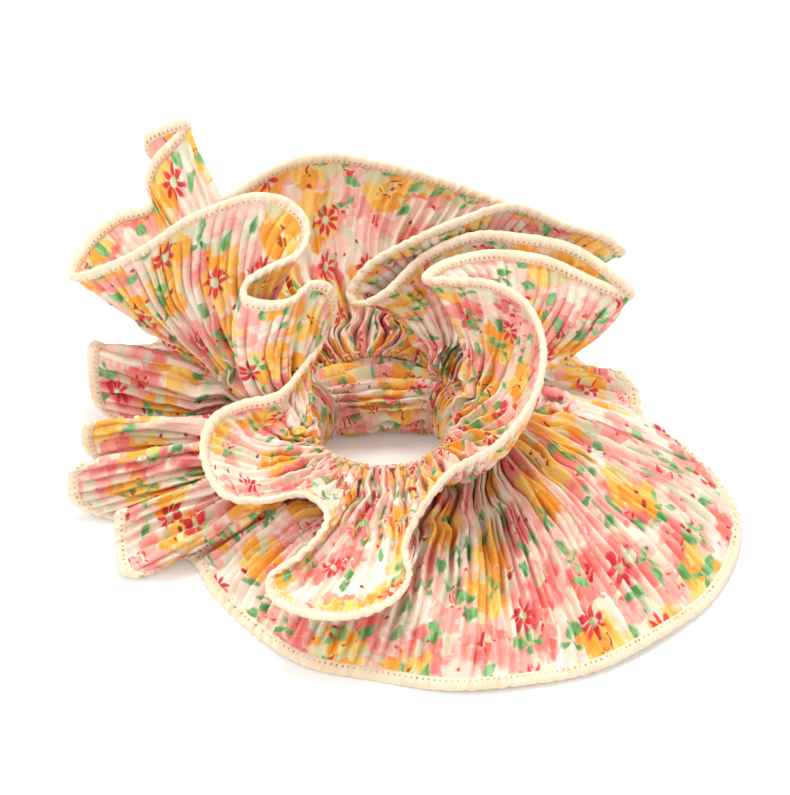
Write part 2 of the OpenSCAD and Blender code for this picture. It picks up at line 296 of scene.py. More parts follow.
def light_scene():
    """High-key studio light: a white world, a key above and behind, and two softboxes in front."""
    world = bpy.data.worlds.new("studio")
    world.use_nodes = True
    background = world.node_tree.nodes["Background"]
    background.inputs["Color"].default_value = (1.0, 0.99, 0.97, 1)
    background.inputs["Strength"].default_value = 0.58
    bpy.context.scene.world = world
    add_softbox("key", (0.0, 0.25, 0.76), 0.35, 4.5, (1.0, 0.97, 0.93))
    add_softbox("left", (-0.6, -0.3, 0.5), 0.6, 2.7, (1.0, 0.98, 0.95))
    add_softbox("right", (0.6, -0.35, 0.5), 0.7, 1.8, (1.0, 0.96, 0.92))
    bpy.context.scene.view_settings.view_transform = "Standard"


# ---- smooth numbers ----
def smoothstep(low, high, x):
    t = np.clip((x - low) / (high - low), 0, 1)
    return t * t * (3 - 2 * t)


def ripple(columns, rows, around, along, seed):
    """Smooth noise from -1 to 1 on a grid that closes on itself round the ring."""
    table = np.random.default_rng(seed).uniform(-1, 1, (around, along + 1))
    u = np.arange(columns) * around / columns
    v = np.linspace(0, along, rows)
    i = u.astype(int)
    j = np.minimum(v.astype(int), along - 1)
    fu = smoothstep(0, 1, u - i)[:, None]
    fv = smoothstep(0, 1, v - j)[None, :]
    near = table[i % around]
    far = table[(i + 1) % around]
    low = near[:, j] * (1 - fu) + far[:, j] * fu
    high = near[:, j + 1] * (1 - fu) + far[:, j + 1] * fu
    return low * (1 - fv) + high * fv


def unit(vectors):
    return vectors / np.maximum(np.linalg.norm(vectors, axis=-1, keepdims=True), 1e-9)


def grid_normals(grid):
    """Normals of a grid that closes on itself along its first axis."""
    across = np.roll(grid, -1, 0) - np.roll(grid, 1, 0)
    along = np.gradient(grid, axis=1)
    return unit(np.cross(across, along))


# ---- the cloth between the gather line and the edge ----
def fold_at(fold, places):
    """Rows of a closed fold line, smoothed, at places counted in rows."""
    rows = np.array(fold, float)
    n = len(rows)
    i = np.floor(places).astype(int)
    t = (places - i)[:, None]

    def row(k):
        found = rows[k % n].copy()
        found[:, 0] += 360.0 * (k // n)
        return found

    p0, p1, p2, p3 = row(i - 1), row(i), row(i + 1), row(i + 2)
    return 0.5 * (
        2 * p1
        + (p2 - p0) * t
        + (2 * p0 - 5 * p1 + 4 * p2 - p3) * t**2
        + (3 * p1 - p0 - 3 * p2 + p3) * t**3
    )


def even_places(fold, columns):
    """Places along a fold line that are evenly spaced along the cloth's edge, and its length."""
    fine = np.linspace(0, len(fold), len(fold) * 60 + 1)
    edge = fold_at(fold, fine)[:, 1:4]
    steps = np.linalg.norm(np.diff(edge, axis=0), axis=1)
    so_far = np.concatenate([[0], np.cumsum(steps)])
    wanted = np.arange(columns) * so_far[-1] / columns
    return np.interp(wanted, so_far, fine), so_far[-1]


def root_points(angle, shape):
    """Points on a gather line, which slides out and down over the casing's left shoulder."""
    aside = np.maximum(0, -np.cos(angle + SPREAD_TURN)) ** 6
    behind = np.maximum(0, np.sin(angle)) ** 2
    radius = shape["root_r"] + shape["spread"] * aside + shape["setback"] * behind
    height = shape["root_z"] - SIDE_DROP * aside
    return np.stack([radius * np.cos(angle), radius * np.sin(angle), height], -1)


def cloth_base(fold, shape, columns, rows):
    """The cloth without its pleats: one arc of cloth for each column."""
    places, edge_length = even_places(fold, columns)
    row = fold_at(fold, places)
    angle = np.radians(row[:, 0])
    out = np.stack([np.cos(angle), np.sin(angle), np.zeros(columns)], -1)
    root = root_points(angle, shape)
    edge = row[:, 1:4]
    calm = sum(fold_at(fold, places + j)[:, 1:4] for j in np.arange(-2, 2.1, 0.5)) / 9
    chord = np.linalg.norm(edge - root, axis=1)[:, None]
    along = (edge - root) / chord
    length = np.maximum(chord * 1.01, np.minimum(RUFFLE_W, shape["slack"] * chord))
    squared = 10 - np.sqrt(np.maximum(0, 100 - 120 * (1 - chord / length)))
    half = np.sqrt(np.maximum(squared, 0.0025))
    lift = row[:, 4:5]
    lean = (1 - np.abs(lift)) * out + lift * np.array([0, 0, 1.0])
    bow = lean - np.sum(lean * along, 1, keepdims=True) * along
    t = np.linspace(0, 1, rows)[None, :]
    swing = (2 * t - 1) * half
    forward = chord / 2 * (1 + np.sin(swing) / np.sin(half))
    aside = chord / (2 * np.sin(half)) * (np.cos(swing) - np.cos(half))
    opened = (1 - (1 - t) ** 3 - t) * shape["fullness"]
    grid = root[:, None] + along[:, None] * forward[..., None] + bow[:, None] * aside[..., None]
    return grid + (edge - calm)[:, None] * opened[..., None], edge_length


def pleated(grid, pleats, seed, crinkle):
    """Adds the crinkle pleats, which bunch into deeper, kinked folds towards the gather line.

    Also returns the pleats' phase, and how far each point stands from its pleats' middle.
    """
    columns, rows = grid.shape[:2]
    v = np.linspace(0, 1, rows)[None, :]
    turn = np.arange(columns)[:, None] / columns

    # broad swells out of the cloth, then kinks along it near the gather line
    broad = 0.9 * ripple(columns, rows, pleats // 7, 4, seed) * smoothstep(0.1, 0.5, v)
    grid = grid + grid_normals(grid) * broad[..., None]
    across = unit(np.roll(grid, -1, 0) - np.roll(grid, 1, 0))
    kink = 2.0 * ripple(columns, rows, pleats // 12, 13, seed + 2)
    kink = kink * smoothstep(0, 0.08, v) * (1 - smoothstep(0.2, 0.65, v))
    grid = grid + across * kink[..., None]

    # single pleats, shallower where the edge is overlocked
    phase = 2 * math.pi * (pleats * turn + 0.35 * ripple(columns, rows, pleats // 3, 6, seed + 1))
    uneven = 1 + 0.8 * ripple(columns, rows, pleats, 4, seed + 3)
    fine = np.sin(phase) + 0.35 * np.sin(2 * phase + 1.0)
    fine_depth = crinkle * (0.2 + 0.5 * smoothstep(0.05, 0.35, v)) * (1 - 0.7 * smoothstep(0.88, 1.0, v))

    # pleats that pair up, and bunches of four, towards the gather line
    pair = np.sin(phase / 2 + 1.5 * ripple(columns, rows, pleats // 6, 5, seed + 4))
    pair_depth = 0.3 * (1 - smoothstep(0.8, 0.95, v)) + 1.0 * (1 - smoothstep(0.25, 0.7, v))
    pair_depth = pair_depth * smoothstep(-0.04, 0.1, v)
    bunch = np.sin(phase / 4 + 2.2 * ripple(columns, rows, pleats // 8, 5, seed + 5))
    bunch_depth = 1.3 * smoothstep(-0.02, 0.1, v) * (1 - smoothstep(0.15, 0.6, v))

    lift = fine * fine_depth * uneven + pair * pair_depth + bunch * bunch_depth
    return grid + grid_normals(grid) * lift[..., None], phase, lift


def cloth_uv(phase, edge_length, row_start):
    """Places on the flat cloth in centimetres. Much of it lies hidden in the pleats' valleys."""
    columns, rows = phase.shape
    valley = np.exp(3.0 * (np.cos(phase - 5.0) - 1))
    shown = (1 - HIDDEN_CLOTH) + HIDDEN_CLOTH * valley / valley.mean(0)
    across = np.cumsum(shown, 0) - shown[:1]
    down = np.linspace(0, RUFFLE_W / 10, rows) + row_start
    size = edge_length * FLAT_PER_PLEATED / 10 / columns
    return np.stack([across * size, np.broadcast_to(down, (columns, rows))], -1)


def cloth_mesh(name, grid, uv, thickness):
    """A thin closed cloth from a grid of its middle surface, with a UV map in centimetres."""
    columns, rows = grid.shape[:2]
    offset = grid_normals(grid) * thickness / 2
    points = np.concatenate([(grid + offset).reshape(-1, 3), (grid - offset).reshape(-1, 3)])
    u = np.arange(columns)
    v = np.arange(rows - 1)
    a = (u[:, None] * rows + v[None, :]).ravel()
    b = (((u[:, None] + 1) % columns) * rows + v[None, :]).ravel()
    top = np.stack([a, b, b + 1, a + 1], -1)
    half = columns * rows
    bottom = np.stack([a, a + 1, b + 1, b], -1) + half
    rims = []
    for row, flip in ((0, False), (rows - 1, True)):
        near = u * rows + row
        far = ((u + 1) % columns) * rows + row
        rim = np.stack([near, near + half, far + half, far], -1)
        rims.append(rim[:, ::-1] if flip else rim)
    faces = np.concatenate([top, bottom] + rims)
    mesh = mesh_from(name, points, faces)
    # The last column's faces carry on past the UV map's end, so that the print has no jump.
    corner = faces.ravel() % half
    column = corner // rows
    wraps = np.repeat((faces % half // rows).max(1) == columns - 1, 4) & (column == 0)
    wraps &= np.repeat((faces % half // rows).min(1) == 0, 4)
    coordinates = uv.reshape(-1, 2)[corner].copy()
    width = uv[-1, 0, 0] * columns / (columns - 1)
    coordinates[wraps, 0] += width
    write_uv(mesh, coordinates)
    return mesh


def mesh_from(name, points, faces):
    """A smooth-shaded mesh from points in millimetres and faces of four corners."""
    mesh = bpy.data.meshes.new(name)
    mesh.vertices.add(len(points))
    mesh.vertices.foreach_set("co", (points * MM).astype(np.float32).ravel())
    mesh.loops.add(faces.size)
    mesh.loops.foreach_set("vertex_index", faces.astype(np.int32).ravel())
    mesh.polygons.add(len(faces))
    mesh.polygons.foreach_set("loop_start", np.arange(0, faces.size, 4, dtype=np.int32))
    mesh.polygons.foreach_set("use_smooth", np.ones(len(faces), bool))
    mesh.update(calc_edges=True)
    mesh.validate()
    return mesh


def write_uv(mesh, coordinates):
    layer = mesh.uv_layers.new(name="cloth")
    layer.data.foreach_set("uv", coordinates.astype(np.float32).ravel())


def write_painted_shade(mesh, values):
    """Painted shade for each point, from 0 to 1, which the cloth's material reads; it is highest where a
    point lies deep in a fold.
    """
    mesh.attributes.new("painted_shade", "FLOAT", "POINT").data.foreach_set("value", values.astype(np.float32))


def add_piece(name, mesh, material, *replaced, slot):
    """An object that rides on the one body and stands for CAD nodes. The slot is not used."""
    piece = bpy.data.objects.new(name, mesh)
    bpy.context.scene.collection.objects.link(piece)
    piece.data.materials.append(material)
    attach(piece, "root")
    if replaced:
        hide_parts(*replaced)
    return piece


def ruffle(name, node, fold, shape, seed, material):
    """One pleated ruffle. Returns its object, its grid of points and its edge length."""
    edge_length = even_places(fold, 8)[1]
    pleats = 4 * round(edge_length / PLEAT_PITCH / 4)
    columns = pleats * COLUMNS_PER_PLEAT
    base, edge_length = cloth_base(fold, shape, columns, CLOTH_ROWS)
    grid, phase, relief = pleated(base, pleats, seed, shape["crinkle"])
    grid[..., 2] = np.maximum(grid[..., 2], FLOOR_Z + 0.5 + CLOTH_T)
    uv = cloth_uv(phase, edge_length, seed)
    mesh = cloth_mesh(name, grid, uv, CLOTH_T)
    # Painted shade: the cloth is darker in the pleats' valleys on each of its faces, and near the gather
    # line where the folds bunch.
    gather_line_shade = 0.35 * (1 - smoothstep(0.05, 0.4, np.linspace(0, 1, CLOTH_ROWS)))[None, :]
    painted_shade = [np.clip(side * relief * -0.75, 0, 1) + gather_line_shade for side in (1, -1)]
    write_painted_shade(mesh, np.concatenate([each.ravel() for each in painted_shade]))
    piece = add_piece(name, mesh, material, node, slot="pleated_cloth")
    return piece, grid, edge_length


# ---- overlocked edge ----
def overlock(name, node, grid, edge_length, material):
    """The band of looped thread that wraps a ruffle's edge, one lump for each stitch."""
    stitches = round(edge_length / STITCH_PITCH)
    per_stitch = 6
    around = 12
    count = stitches * per_stitch
    place = np.arange(count) * len(grid) / count
    i = place.astype(int)
    t = (place - i)[:, None]

    def along_edge(values):
        return values[i % len(grid)] * (1 - t) + values[(i + 1) % len(grid)] * t

    # The band lies along the cloth's edge, level with the cloth there.
    calm = sum(np.roll(grid, k, 0) for k in range(-4, 5)) / 9
    edge = along_edge(grid[:, -1])
    outward = along_edge(unit(calm[:, -1] - calm[:, -4]))
    normal = along_edge(grid_normals(calm)[:, -1])
    outward = unit(outward - np.sum(outward * normal, 1, keepdims=True) * normal)

    # Each stitch is a shallow lump, with a needle's dimple in its inner side.
    angle = np.arange(around) * 2 * math.pi / around
    stitch = np.arange(count)[:, None] / per_stitch
    loop = np.abs(np.sin(math.pi * (stitch + 0.12 * np.sin(angle)[None, :])))
    size = 0.95 + 0.05 * np.sqrt(loop) + 0.04 * ripple(count, around, stitches, 4, 5)
    inner = np.exp(-((np.cos(angle)[None, :] + 0.45) ** 2) / 0.04)
    dimple = inner * np.exp(-((stitch % 1 - 0.5) ** 2) / 0.02)
    size = size - 0.22 * dimple
    wide = np.cos(angle)[None, :] * size * BAND_WIDTH / 2
    deep = np.sin(angle)[None, :] * size * BAND_DEPTH / 2
    middle = edge + outward * BAND_WIDTH * 0.18
    points = middle[:, None] + outward[:, None] * wide[..., None] + normal[:, None] * deep[..., None]
    points[..., 2] = np.maximum(points[..., 2], FLOOR_Z + 0.1)
    faces = tube_faces(count, around)
    mesh = mesh_from(name, points.reshape(-1, 3), faces)
    write_tube_uv(mesh, faces, count, around, stitches, 1.0)
    return add_piece(name, mesh, material, node, slot="overlock_thread")


def tube_faces(count, around):
    """Faces of a tube that closes both ways."""
    u = np.arange(count)[:, None]
    v = np.arange(around)[None, :]
    a = u * around + v
    b = (u + 1) % count * around + v
    c = (u + 1) % count * around + (v + 1) % around
    d = u * around + (v + 1) % around
    return np.stack([a, b, c, d], -1).reshape(-1, 4)[:, ::-1]


def write_tube_uv(mesh, faces, count, around, u_size, v_size):
    """UVs along and round a tube, which carry on past the seams of both."""
    u = faces // around
    v = faces % around
    u = u + count * ((u.max(1, keepdims=True) == count - 1) & (u == 0))
    v = v + around * ((v.max(1, keepdims=True) == around - 1) & (v == 0))
    uv = np.stack([u * u_size / count, v * v_size / around], -1)
    write_uv(mesh, uv.reshape(-1, 2))


# ---- gathered casing ----
def casing(material, cloth_length):
    """The channel of bunched cloth round the elastic, with its puckers.

    Behind the hole the channel is twisted, so its cloth is smooth and its folds run along the ring.
    """
    count = 960
    around = 108
    puckers = 84
    middle_r = (HOLE_R + CASING_R) / 2 + 0.2
    half_w = (CASING_R - HOLE_R) / 2 - 0.5
    half_h = CASING_TOP - 0.7
    turn = np.arange(count)[:, None] / count
    degrees = 360 * turn
    angle = np.arange(around)[None, :] * 2 * math.pi / around
    cos, sin = np.cos(angle), np.sin(angle)
    # A power below 1 squares the round section.
    boxy = 0.8

    # Behind the hole the cloth is twisted and slack. It leans in, and its inner top sinks.
    twisted = smoothstep(38, 50, degrees) * (1 - smoothstep(132, 146, degrees))
    slack = smoothstep(25, 80, degrees) * (1 - smoothstep(105, 160, degrees))
    lean = CASING_LEAN * slack
    r = middle_r - lean + (half_w + lean) * np.sign(cos) * np.abs(cos) ** boxy
    sunk = slack * (CASING_SINK * (0.5 - 0.5 * cos) * (sin > 0))
    z = half_h * np.sign(sin) * np.abs(sin) ** boxy * (1 - sunk)

    # Puckers cross the ring, or folds run along it where the cloth is twisted.
    wander = ripple(count, around, 60, 8, 31)
    fold = np.sin(2 * math.pi * puckers * turn + 1.3 * wander)
    fold = fold + 0.5 * np.sin(4 * math.pi * puckers * turn + 2.0 * wander)
    depth = 0.75 * (1 + 0.4 * ripple(count, around, 90, 6, 32))
    drift = 2.4 * np.sin(np.radians(degrees * 1.4)) + 1.2 * ripple(count, around, 18, 5, 34)
    along = np.sin(17 * angle + drift) + 0.35 * np.sin(31 * angle - drift)
    lift = fold * depth * (1 - twisted) + along * 1.05 * twisted
    lift = lift + 0.5 * ripple(count, around, 24, 4, 33)

    r = r + lift * np.sign(cos) * np.abs(cos) ** 0.6
    z = z + lift * np.sign(sin) * np.abs(sin) ** 0.6
    theta = 2 * math.pi * turn
    points = np.stack([r * np.cos(theta), r * np.sin(theta), z], -1)
    points[..., 2] = np.maximum(points[..., 2], FLOOR_Z + 0.05)
    faces = tube_faces(count, around)
    mesh = mesh_from("gathered_casing", points.reshape(-1, 3), faces)
    # Painted shade: darker in the puckers' valleys, and on the underside of the twisted part, which gets
    # little light.
    underside_shade = 1.2 * twisted * smoothstep(0.1, 0.8, -sin)
    write_painted_shade(mesh, np.clip(0.15 - 0.55 * lift + underside_shade, 0, 1.2).ravel())
    # The print is squeezed along the ring where the cloth is puckered, and across it where twisted.
    squeeze = 1 - 0.8 * twisted.ravel()
    u = np.concatenate([[0], np.cumsum(squeeze)]) * cloth_length / 10 / count
    column, row = faces // around, faces % around
    column = column + count * ((column.max(1, keepdims=True) == count - 1) & (column == 0))
    row = row + around * ((row.max(1, keepdims=True) == around - 1) & (row == 0))
    height = 4.6 + 9.0 * twisted.ravel()[column % count]
    write_uv(mesh, np.stack([u[column], row * height / around], -1).reshape(-1, 2))
    return add_piece("gathered_casing", mesh, material, "casing", slot="pleated_cloth")


# ---- shader graphs ----
def colour(code):
    """Linear colour from a hex code."""
    parts = [int(code[i:i + 2], 16) / 255 for i in (0, 2, 4)]
    linear = [c / 12.92 if c <= 0.04045 else ((c + 0.055) / 1.055) ** 2.4 for c in parts]
    return (*linear, 1.0)


class Graph:
    """Short names for making one material's nodes."""

    def __init__(self, name):
        self.material = bpy.data.materials.new(name)
        self.material.use_nodes = True
        self.tree = self.material.node_tree
        self.shader = self.tree.nodes["Principled BSDF"]

    def node(self, kind, **settings):
        made = self.tree.nodes.new("ShaderNode" + kind)
        for key, value in settings.items():
            setattr(made, key, value)
        return made

    def feed(self, socket, value):
        if isinstance(value, bpy.types.NodeSocket):
            self.tree.links.new(value, socket)
        else:
            socket.default_value = value

    def maths(self, operation, a, b=0.0, c=0.0, clamp=False):
        made = self.node("Math", operation=operation, use_clamp=clamp)
        for socket, value in zip(made.inputs, (a, b, c)):
            self.feed(socket, value)
        return made.outputs[0]

    def vector(self, operation, a, b=(0, 0, 0), scale=1.0):
        made = self.node("VectorMath", operation=operation)
        self.feed(made.inputs[0], a)
        if operation == "SCALE":
            self.feed(made.inputs["Scale"], scale)
        elif operation != "LENGTH":
            self.feed(made.inputs[1], b)
        return made.outputs["Value" if operation == "LENGTH" else 0]

    def mix(self, part, a, b):
        made = self.node("Mix", data_type="RGBA")
        self.feed(made.inputs["Factor"], part)
        self.feed(made.inputs[6], a)
        self.feed(made.inputs[7], b)
        return made.outputs[2]

    def ramp(self, value, low, high):
        """0 below low, 1 above high, smooth between."""
        made = self.node("MapRange", interpolation_type="SMOOTHSTEP")
        self.feed(made.inputs["Value"], value)
        self.feed(made.inputs["From Min"], low)
        self.feed(made.inputs["From Max"], high)
        return made.outputs[0]

    def noise(self, vector, scale, detail=2.0, rough=0.5):
        made = self.node("TexNoise", noise_dimensions="2D")
        self.feed(made.inputs["Vector"], vector)
        self.feed(made.inputs["Scale"], scale)
        self.feed(made.inputs["Detail"], detail)
        self.feed(made.inputs["Roughness"], rough)
        return made.outputs["Fac"], made.outputs["Color"]

    def cells(self, vector, scale, randomness=0.75):
        """Local place in the nearest cell, and two random numbers of that cell."""
        made = self.node("TexVoronoi", voronoi_dimensions="2D", feature="F1")
        self.feed(made.inputs["Vector"], vector)
        self.feed(made.inputs["Scale"], scale)
        self.feed(made.inputs["Randomness"], randomness)
        local = self.vector("SUBTRACT", vector, made.outputs["Position"])
        split = self.node("SeparateColor")
        self.feed(split.inputs[0], made.outputs["Color"])
        return local, split.outputs[0], split.outputs[1]

    def split(self, vector):
        made = self.node("SeparateXYZ")
        self.feed(made.inputs[0], vector)
        return made.outputs[0], made.outputs[1]

    def bump(self, height, distance, strength=1.0):
        made = self.node("Bump")
        self.feed(made.inputs["Height"], height)
        made.inputs["Distance"].default_value = distance
        made.inputs["Strength"].default_value = strength
        self.tree.links.new(made.outputs[0], self.shader.inputs["Normal"])

    def uv(self):
        return self.node("UVMap", uv_map="cloth").outputs[0]


def flower(g, local, turn, count, inner, outer, soft=0.04):
    """A flower's mask, whose reach swings between inner and outer, and a number for each petal."""
    x, y = g.split(local)
    angle = g.maths("DIVIDE", g.maths("ARCTAN2", y, x), 2 * math.pi)
    around = g.maths("MULTIPLY", g.maths("ADD", angle, turn), count)
    lobe = g.maths("ABSOLUTE", g.maths("COSINE", g.maths("MULTIPLY", around, math.pi)))
    reach = g.maths("MULTIPLY_ADD", g.maths("SQRT", lobe), outer - inner, inner)
    past = g.maths("SUBTRACT", reach, g.vector("LENGTH", local))
    petal = g.maths("FLOORED_MODULO", g.maths("FLOOR", g.maths("ADD", around, 0.5)), count)
    number = g.maths("FRACT", g.maths("MULTIPLY_ADD", petal, 0.618, g.maths("MULTIPLY", turn, 7.3)))
    return g.ramp(past, -soft, soft), number


def sprig(g, local, turn, reach):
    """1 inside three pointed leaves that meet in one point."""
    x, y = g.split(local)
    angle = g.maths("ADD", g.maths("ARCTAN2", y, x), g.maths("MULTIPLY", turn, 2 * math.pi))
    lobe = g.maths("MAXIMUM", g.maths("COSINE", g.maths("MULTIPLY", angle, 3)), 0.0)
    past = g.maths("SUBTRACT", g.maths("MULTIPLY", g.maths("SQRT", lobe), reach), g.vector("LENGTH", local))
    return g.ramp(past, -0.05, 0.10)


def dab(g, local, turn, long, wide):
    """1 inside a pointed brush mark that is turned at random."""
    spin = g.node("VectorRotate", rotation_type="Z_AXIS")
    g.feed(spin.inputs["Vector"], local)
    g.feed(spin.inputs["Angle"], g.maths("MULTIPLY", turn, 2 * math.pi))
    x, y = g.split(spin.outputs[0])
    x = g.maths("DIVIDE", x, long)
    y = g.maths("DIVIDE", y, wide)
    bulk = g.maths("ADD", g.maths("MULTIPLY", x, x), g.maths("ABSOLUTE", y))
    return g.ramp(g.maths("SUBTRACT", 1.0, bulk), -0.25, 0.4)


def kept(g, mask, chance, low, high):
    """A mask only in the cells whose random number lies between two limits."""
    above = g.maths("GREATER_THAN", chance, low)
    below = g.maths("LESS_THAN", chance, high)
    return g.maths("MULTIPLY", mask, g.maths("MULTIPLY", above, below))


def blossoms(g, paint, place, brush, scale, shift, chance_of, reach, light, dark, spots):
    """A layer of broad brushed blossoms with a pale heart and a broken ring of spots round it."""
    local, chance, turn = g.cells(g.vector("ADD", place, shift), scale, 0.75)
    petals, number = flower(g, local, turn, 5, reach * 0.6, reach, 0.12)
    tone = g.ramp(g.maths("MULTIPLY_ADD", brush, 1.3, g.maths("SUBTRACT", number, 0.6)), 0.2, 0.8)
    paint = g.mix(kept(g, petals, chance, 0.0, chance_of), paint, g.mix(tone, light, dark))
    away = g.vector("LENGTH", local)
    ring = g.ramp(g.maths("ABSOLUTE", g.maths("SUBTRACT", away, 0.23)), 0.11, 0.05)
    marks, number = flower(g, local, g.maths("ADD", turn, 0.07), 6, -0.4, 0.32, 0.05)
    marks = g.maths("MULTIPLY", g.maths("MULTIPLY", ring, marks), g.maths("GREATER_THAN", number, 0.3))
    paint = g.mix(kept(g, marks, chance, 0.0, chance_of * 0.7), paint, spots)
    heart = g.maths("MULTIPLY", g.ramp(away, 0.17, 0.07), g.ramp(brush, 0.3, 0.5))
    return g.mix(kept(g, heart, chance, 0.0, chance_of * 0.7), paint, colour("DDEBC6"))


def red_flowers(g, paint, place, brush, scale, shift, chance_of):
    """A layer of small red flowers with thin petals round a pale heart."""
    local, chance, turn = g.cells(g.vector("ADD", place, shift), scale, 0.8)
    petals = flower(g, local, turn, 8, -0.1, 0.43, 0.06)[0]
    red = g.mix(g.ramp(brush, 0.3, 0.7), colour("EA4A50"), colour("D0323F"))
    paint = g.mix(kept(g, petals, chance, 0.0, chance_of), paint, red)
    heart = g.ramp(g.vector("LENGTH", local), 0.16, 0.09)
    return g.mix(kept(g, heart, chance, 0.0, chance_of), paint, colour("D5E3BC"))


def printed_cloth():
    """Off-white cloth with a generic print of brushed blossoms, small red flowers and leaves."""
    g = Graph("pleated_cloth")
    place = g.uv()
    wobble = g.vector("SUBTRACT", g.noise(place, 2.6, 1.5, 0.45)[1], (0.5, 0.5, 0.5))
    coarse = g.vector("ADD", place, g.vector("SCALE", wobble, scale=0.6))
    slight = g.vector("ADD", place, g.vector("SCALE", wobble, scale=0.2))
    brush = g.noise(g.vector("MULTIPLY", place, (3.2, 1.0, 1.0)), 2.2, 2.5, 0.6)[0]

    paint = g.mix(g.noise(place, 0.9, 2.0)[0], colour("FCF4E8"), colour("F8EAD8"))
    wash = g.noise(coarse, 0.8, 2.0)[0]
    paint = g.mix(g.ramp(wash, 0.46, 0.58), paint, colour("FBDACB"))
    paint = blossoms(g, paint, coarse, brush, 0.54, (21.7, 13.1, 0), 0.85, 0.85,
                     colour("FDD9CD"), colour("FAB0A6"), colour("DC5A50"))
    paint = blossoms(g, paint, coarse, brush, 0.52, (11.3, 2.9, 0), 0.66, 0.76,
                     colour("FBB0A7"), colour("F2857E"), colour("C42D37"))
    paint = blossoms(g, paint, coarse, brush, 0.50, (3.1, 7.7, 0), 0.70, 0.88,
                     colour("FFD576"), colour("F9AE3E"), colour("B5442C"))

    # Leaves: pale smudges, sprigs of three and single dabs.
    pale = g.ramp(g.noise(g.vector("ADD", coarse, (40.0, 9.0, 0)), 1.5, 1.0)[0], 0.60, 0.68)
    paint = g.mix(g.maths("MULTIPLY", pale, 0.7), paint, colour("D5E6C6"))
    green = g.mix(g.ramp(brush, 0.3, 0.7), colour("9CD08F"), colour("57A05C"))
    local, chance, turn = g.cells(g.vector("ADD", slight, (1.7, 4.3, 0)), 0.85, 0.9)
    paint = g.mix(kept(g, sprig(g, local, turn, 0.38), chance, 0.0, 0.34), paint, green)
    local, chance, turn = g.cells(g.vector("ADD", slight, (8.9, 6.1, 0)), 1.15, 0.9)
    paint = g.mix(kept(g, dab(g, local, turn, 0.30, 0.15), chance, 0.0, 0.40), paint, green)

    paint = red_flowers(g, paint, slight, brush, 0.50, (5.3, 9.1, 0), 0.42)
    local, chance, turn = g.cells(g.vector("ADD", slight, (2.2, 1.4, 0)), 2.2, 0.8)
    dot = g.ramp(g.vector("LENGTH", local), 0.09, 0.04)
    paint = g.mix(kept(g, dot, chance, 0.0, 0.12), paint, colour("B8383C"))

    # Painted shade: where each point's painted shade value is high, the colour is darkened and warmed, as
    # light that bounces between the walls of a fold comes out darker and warmer.
    painted_shade = g.node("Attribute", attribute_name="painted_shade").outputs["Fac"]
    shade_tint = g.node("Mix", data_type="RGBA", blend_type="MULTIPLY")
    shade_tint.inputs["Factor"].default_value = 1.0
    g.feed(shade_tint.inputs[6], paint)
    g.feed(shade_tint.inputs[7], g.mix(0.5, paint, colour("D9A57C")))
    paint = g.mix(g.maths("MULTIPLY", painted_shade, 0.75, clamp=True), paint, shade_tint.outputs[2])

    g.tree.links.new(paint, g.shader.inputs["Base Color"])
    g.shader.inputs["Roughness"].default_value = 0.72
    g.shader.inputs["Sheen Weight"].default_value = 0.25
    g.shader.inputs["Sheen Roughness"].default_value = 0.5
    g.shader.inputs["Specular IOR Level"].default_value = 0.3
    threads = []
    for direction in "XY":
        wave = g.node("TexWave", wave_type="BANDS", bands_direction=direction)
        g.feed(wave.inputs["Vector"], place)
        wave.inputs["Scale"].default_value = 11.0
        threads.append(wave.outputs["Fac"])
    weave = g.maths("MULTIPLY", *threads)
    fuzz = g.noise(place, 40.0, 2.0)[0]
    g.bump(g.maths("ADD", weave, fuzz), 0.00006, 0.6)
    return g.material


def overlock_thread():
    """Cream looped thread, with the dark gaps of the needle holes along its inner side."""
    g = Graph("overlock_thread")
    place = g.uv()
    u, v = g.split(place)
    turn = 6.2832
    slant = g.maths("MULTIPLY", v, 2 * turn)
    strand = g.maths("SINE", g.maths("MULTIPLY_ADD", u, 3 * turn, slant))
    cream = g.mix(g.noise(place, 1.7, 2.0)[0], colour("F6E0C0"), colour("FBEFDC"))
    tinge = g.ramp(g.noise(g.vector("MULTIPLY", place, (0.16, 2.0, 0)), 1.0, 2.0)[0], 0.5, 0.7)
    cream = g.mix(g.maths("MULTIPLY", tinge, 0.45), cream, colour("F6CFAE"))
    gap = g.ramp(strand, -0.3, -1.0)
    paint = g.mix(g.maths("MULTIPLY", gap, 0.4), cream, colour("D9AE7C"))

    # A needle hole for each stitch on both faces of the band, clearer in some places than others
    seen = g.ramp(g.noise(g.vector("MULTIPLY", place, (0.11, 0, 0)), 1.0, 1.0)[0], 0.35, 0.65)
    along = g.maths("SUBTRACT", g.maths("FRACT", u), 0.5)
    for side in (0.325, 0.675):
        across = g.maths("MULTIPLY", g.maths("SUBTRACT", v, side), 4.6)
        away = g.maths("SQRT", g.maths("ADD", g.maths("MULTIPLY", along, along),
                                       g.maths("MULTIPLY", across, across)))
        hole = g.maths("MULTIPLY", g.ramp(away, 0.24, 0.12), g.maths("MULTIPLY_ADD", seen, 0.65, 0.35))
        paint = g.mix(hole, paint, colour("B48A62"))
    g.tree.links.new(paint, g.shader.inputs["Base Color"])
    g.shader.inputs["Roughness"].default_value = 0.85
    g.shader.inputs["Sheen Weight"].default_value = 0.4
    g.shader.inputs["Specular IOR Level"].default_value = 0.2
    fuzz = g.noise(place, 30.0, 2.0)[0]
    g.bump(g.maths("ADD", strand, fuzz), 0.00005, 0.5)
    return g.material


